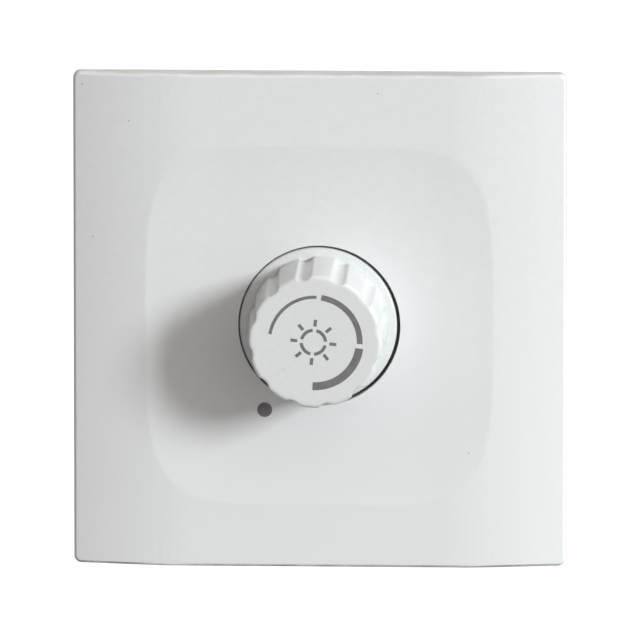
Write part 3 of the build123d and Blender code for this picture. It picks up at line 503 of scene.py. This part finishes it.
def crown_drop(x):
    """How far the crown falls away at a distance from the middle."""
    past = abs(x) - CROWN_FLAT
    bend_end = CROWN_BEND * math.sin(CROWN_SLOPE)
    if past < 0:
        return 0.0
    if past < bend_end:
        return CROWN_BEND - math.sqrt(CROWN_BEND**2 - past**2)
    return CROWN_BEND * (1 - math.cos(CROWN_SLOPE)) + (past - bend_end) * math.tan(CROWN_SLOPE)


def skin_lift(x, z):
    """From the plain front of the solid to a swelling crown and a dish with soft corners."""
    across = abs(x) / DISH_HALF_X
    along = abs(z) / DISH_HALF_Z
    plain = max(crown_drop(x), DISH_DEPTH * (1 - along**2))
    swell = SWELL_DROP * (max(0.0, abs(x) - SWELL_START) / SWELL_REACH) ** SWELL_POWER
    inside = DISH_DEPTH * (1 - across**DISH_POWER_X - along**DISH_POWER_Z)
    return swell + (inside + math.hypot(inside, DISH_BLEND)) / 2 - plain


def is_front(face):
    """Faces of the crown and the dish, without the rounded edges and the parts behind."""
    return face.normal.y < FRONT_NORMAL_Y and face.calc_center_median().y < plate_low.y + FRONT_DEPTH


def grid_planes():
    """Planes that cut the front into a grid, each a point and a normal."""
    count = int(PLATE_HALF / SKIN_STEP)
    even_cuts = [i * SKIN_STEP for i in range(-count, count + 1)]
    rim_cuts = [i * RIM_STEP for i in range(RIM_COUNT)]
    across = even_cuts + [side * (DISH_HALF_X - cut) for cut in rim_cuts for side in (-1, 1)]
    along = even_cuts + [side * (DISH_HALF_Z - cut) for cut in rim_cuts for side in (-1, 1)]
    planes = [((x * MM, 0, 0), (1, 0, 0)) for x in across]
    return planes + [((0, 0, z * MM + axis_z), (0, 0, 1)) for z in along]


def edges_of(faces):
    """Edges of some faces, each once and always in the same order."""
    return list(dict.fromkeys(e for f in faces for e in f.edges))


def verts_of(parts):
    """Vertices of some faces or edges, each once and always in the same order."""
    return list(dict.fromkeys(v for part in parts for v in part.verts))


def skin_cover():
    """Cover plate with a finer front, whose dish has the soft outline of the real one."""
    mesh = bmesh.new()
    mesh.from_mesh(nodes["cover_plate"].data)
    mesh.normal_update()
    front = [f for f in mesh.faces if is_front(f)]
    edges = [e for e in edges_of(front) if all(is_front(f) for f in e.link_faces)]
    bmesh.ops.dissolve_limit(mesh, angle_limit=FLAT_ANGLE, verts=verts_of(edges), edges=edges)
    for point, normal in grid_planes():
        front = [f for f in mesh.faces if is_front(f)]
        parts = front + edges_of(front) + verts_of(front)
        bmesh.ops.bisect_plane(mesh, geom=parts, dist=CUT_REACH, plane_co=point, plane_no=normal)
    for vert in verts_of([f for f in mesh.faces if is_front(f)]):
        vert.co.y += skin_lift(vert.co.x / MM, (vert.co.z - axis_z) / MM) * MM
    data = bpy.data.meshes.new("cover_skin")
    mesh.to_mesh(data)
    mesh.free()
    for face in data.polygons:
        face.use_smooth = True
    data.set_sharp_from_angle(angle=SHARP_ANGLE)
    data.materials.clear()
    data.materials.append(cover_finish)
    piece = place("cover_skin", data)
    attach(piece, "cover")
    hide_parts("cover_plate")
    return piece


def surface_tree(piece):
    """Search tree over a piece, for laying ink on it."""
    mesh = bmesh.new()
    mesh.from_mesh(piece.data)
    tree = BVHTree.FromBMesh(mesh)
    mesh.free()
    return tree


def ink_point(mesh, tree, x, z):
    """Top and bottom of the ink on the surface that a point (x, z) faces."""
    hit, _, _, _ = tree.ray_cast(Vector((x, room_y, z)), Vector((0, 1, 0)))
    return mesh.verts.new((x, hit.y - INK_THICK, z)), mesh.verts.new((x, hit.y, z))


def ink_piece(name, mesh):
    """Object of a finished print."""
    bmesh.ops.recalc_face_normals(mesh, faces=mesh.faces)
    data = bpy.data.meshes.new(name)
    mesh.to_mesh(data)
    mesh.free()
    data.materials.append(ink)
    return place(name, data)


def lay_ink(name, strips, tree, body):
    """Thin print of strips, each given as its inner and outer edge of (x, z) points."""
    mesh = bmesh.new()
    for inner, outer in strips:
        rows = [ink_point(mesh, tree, x, z) for x, z in inner + outer]
        count = len(inner)
        for i in range(count - 1):
            a, b = rows[i], rows[i + 1]
            c, d = rows[count + i + 1], rows[count + i]
            mesh.faces.new((a[0], b[0], c[0], d[0]))
            mesh.faces.new((a[0], a[1], b[1], b[0]))
            mesh.faces.new((c[0], c[1], d[1], d[0]))
        first, last = rows[0], rows[count]
        mesh.faces.new((first[0], last[0], last[1], first[1]))
        first, last = rows[count - 1], rows[-1]
        mesh.faces.new((first[0], first[1], last[1], last[0]))
    piece = ink_piece(name, mesh)
    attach(piece, body)


def lay_dot(tree):
    """Round index dot on the plate."""
    mesh = bmesh.new()
    rim = []
    for i in range(DOT_STEPS):
        angle = 2 * math.pi * i / DOT_STEPS
        x = axis_x + DOT_X + DOT_RADIUS * math.cos(angle)
        z = axis_z + DOT_Z + DOT_RADIUS * math.sin(angle)
        rim.append(ink_point(mesh, tree, x, z))
    mesh.faces.new([pair[0] for pair in rim])
    for i in range(DOT_STEPS):
        a, b = rim[i], rim[(i + 1) % DOT_STEPS]
        mesh.faces.new((a[0], a[1], b[1], b[0]))
    piece = ink_piece("index_dot", mesh)
    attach(piece, "cover")


def arc_points(radius, start, end, steps, shift):
    """Points along an arc about the shaft; angles in degrees, anticlockwise from +X, before the turn."""
    points = []
    for i in range(steps + 1):
        angle = math.radians(start + (end - start) * i / steps) + PRINT_TURN
        x = axis_x + shift[0] + radius * math.cos(angle)
        z = axis_z + shift[1] + radius * math.sin(angle)
        points.append((x, z))
    return points


def band(radius, width, start, end, shift):
    """Arc-shaped strip as its inner and outer edges."""
    steps = max(ARC_LEAST_STEPS, int(abs(end - start) / ARC_STEP))
    return (
        arc_points(radius - width / 2, start, end, steps, shift),
        arc_points(radius + width / 2, start, end, steps, shift),
    )


def ray_strip(angle):
    """One short straight ray of the sun."""
    direction = Vector((math.cos(angle), math.sin(angle)))
    across = Vector((-direction.y, direction.x)) * SUN_WIDTH / 2
    centre = Vector((axis_x + SUN_SHIFT[0], axis_z + SUN_SHIFT[1]))
    near = centre + direction * RAY_START
    far = centre + direction * RAY_END
    return ([tuple(near - across), tuple(far - across)], [tuple(near + across), tuple(far + across)])


def sun_strips():
    """A broken ring and the rays round it."""
    span = 360 / SUN_ARCS
    starts = [span * i + SUN_GAP for i in range(SUN_ARCS)]
    ring = [band(SUN_RADIUS, SUN_WIDTH, start, start + span - 2 * SUN_GAP, SUN_SHIFT) for start in starts]
    return ring + [ray_strip(PRINT_TURN + i * 2 * math.pi / RAY_COUNT) for i in range(RAY_COUNT)]


def place_camera():
    """Camera far off with a long lens, a little above the plate and to its right."""
    camera = bpy.data.cameras.new("camera")
    camera.sensor_width = SENSOR
    camera.lens = SENSOR * VIEW_DISTANCE / VIEW_WIDTH
    camera.clip_start = VIEW_NEAR
    camera.clip_end = VIEW_FAR
    holder = place("camera", camera)
    direction = Vector((
        math.sin(VIEW_AZIMUTH) * math.cos(VIEW_ELEVATION),
        -math.cos(VIEW_AZIMUTH) * math.cos(VIEW_ELEVATION),
        math.sin(VIEW_ELEVATION),
    ))
    holder.location = AIM + direction * VIEW_DISTANCE
    holder.rotation_euler = (-direction).to_track_quat("-Z", "Y").to_euler()
    scene.camera = holder


def light_key():
    """Soft lamp that faces the object."""
    light = bpy.data.lights.new("key", "AREA")
    light.shape = "RECTANGLE"
    light.size, light.size_y = KEY_SIZE
    light.energy = KEY_POWER
    light.color = KEY_COLOUR
    holder = place("key", light)
    direction = Vector((
        math.sin(KEY_TILT) * math.cos(KEY_RISE),
        -math.cos(KEY_TILT),
        math.sin(KEY_TILT) * math.sin(KEY_RISE),
    ))
    holder.location = direction.normalized() * KEY_DISTANCE
    holder.rotation_euler = (-holder.location).to_track_quat("-Z", "Y").to_euler()


def seen_directly(tree, path):
    """One for what the camera sees, also through glass, and nought for all other rays."""
    either = tree.nodes.new("ShaderNodeMath")
    either.operation = "MAXIMUM"
    tree.links.new(path.outputs["Is Camera Ray"], either.inputs[0])
    tree.links.new(path.outputs["Is Transmission Ray"], either.inputs[1])
    return either.outputs["Value"]


def light_world():
    """World that is white to the camera and a soft uneven fill to the surfaces."""
    world = bpy.data.worlds.new("studio")
    scene.world = world
    world.use_nodes = True
    tree = world.node_tree
    tree.nodes.clear()
    output = tree.nodes.new("ShaderNodeOutputWorld")
    fill = tree.nodes.new("ShaderNodeBackground")
    rise = map_range(tree, along_axis(tree, "Z", "Generated"), -1.0, 1.0, WORLD_LOW, WORLD_HIGH)
    tree.links.new(rise, fill.inputs["Strength"])
    side = map_range(tree, along_axis(tree, "X", "Generated"), -1.0, 1.0)
    tint = colour_between(tree, side, (0.0, 1.0), (WORLD_LEFT, WORLD_RIGHT))
    tree.links.new(tint, fill.inputs["Color"])
    white = tree.nodes.new("ShaderNodeBackground")
    white.inputs["Color"].default_value = (1, 1, 1, 1)
    white.inputs["Strength"].default_value = 1.0
    path = tree.nodes.new("ShaderNodeLightPath")
    share = tree.nodes.new("ShaderNodeMath")
    share.operation = "MULTIPLY_ADD"
    share.inputs[1].default_value = GLOSSY_WHITE
    tree.links.new(path.outputs["Is Glossy Ray"], share.inputs[0])
    tree.links.new(seen_directly(tree, path), share.inputs[2])
    mix = tree.nodes.new("ShaderNodeMixShader")
    tree.links.new(share.outputs["Value"], mix.inputs["Fac"])
    tree.links.new(fill.outputs["Background"], mix.inputs[1])
    tree.links.new(white.outputs["Background"], mix.inputs[2])
    tree.links.new(mix.outputs["Shader"], output.inputs["Surface"])


def lay_floor():
    """Pale floor well below the plate, white to the camera where nothing shades it."""
    z = plate_low.z - FLOOR_DROP
    corners = [(x * FLOOR_HALF, y * FLOOR_HALF, z) for x, y in ((-1, -1), (1, -1), (1, 1), (-1, 1))]
    mesh = bpy.data.meshes.new("floor")
    mesh.from_pydata(corners, [], [(0, 1, 2, 3)])
    floor = place("floor", mesh)
    material, tree, shader = new_material("pale_floor")
    shader.inputs["Base Color"].default_value = (FLOOR_GREY, FLOOR_GREY, FLOOR_GREY, 1)
    shader.inputs["Roughness"].default_value = FLOOR_ROUGHNESS
    output = next(n for n in tree.nodes if n.type == "OUTPUT_MATERIAL")
    glow = tree.nodes.new("ShaderNodeEmission")
    glow.inputs["Strength"].default_value = FLOOR_GLOW
    dark = tree.nodes.new("ShaderNodeEmission")
    dark.inputs["Strength"].default_value = 0.0
    path = tree.nodes.new("ShaderNodeLightPath")
    mix = tree.nodes.new("ShaderNodeMixShader")
    tree.links.new(seen_directly(tree, path), mix.inputs["Fac"])
    tree.links.new(dark.outputs["Emission"], mix.inputs[1])
    tree.links.new(glow.outputs["Emission"], mix.inputs[2])
    total = tree.nodes.new("ShaderNodeAddShader")
    tree.links.new(shader.outputs["BSDF"], total.inputs[0])
    tree.links.new(mix.outputs["Shader"], total.inputs[1])
    tree.links.new(total.outputs["Shader"], output.inputs["Surface"])
    mesh.materials.append(material)


cover_skin = skin_cover()
knob_tree = surface_tree(nodes["knob"])
for name, start, end, width in ARC_MARKS:
    lay_ink(name, [band(ARC_RADIUS, width, start, end, ARC_SHIFT)], knob_tree, "knob")
lay_ink("sun_symbol", sun_strips(), knob_tree, "knob")
lay_dot(surface_tree(cover_skin))
place_camera()
light_key()
light_world()
lay_floor()

scene.view_settings.view_transform = "Standard"
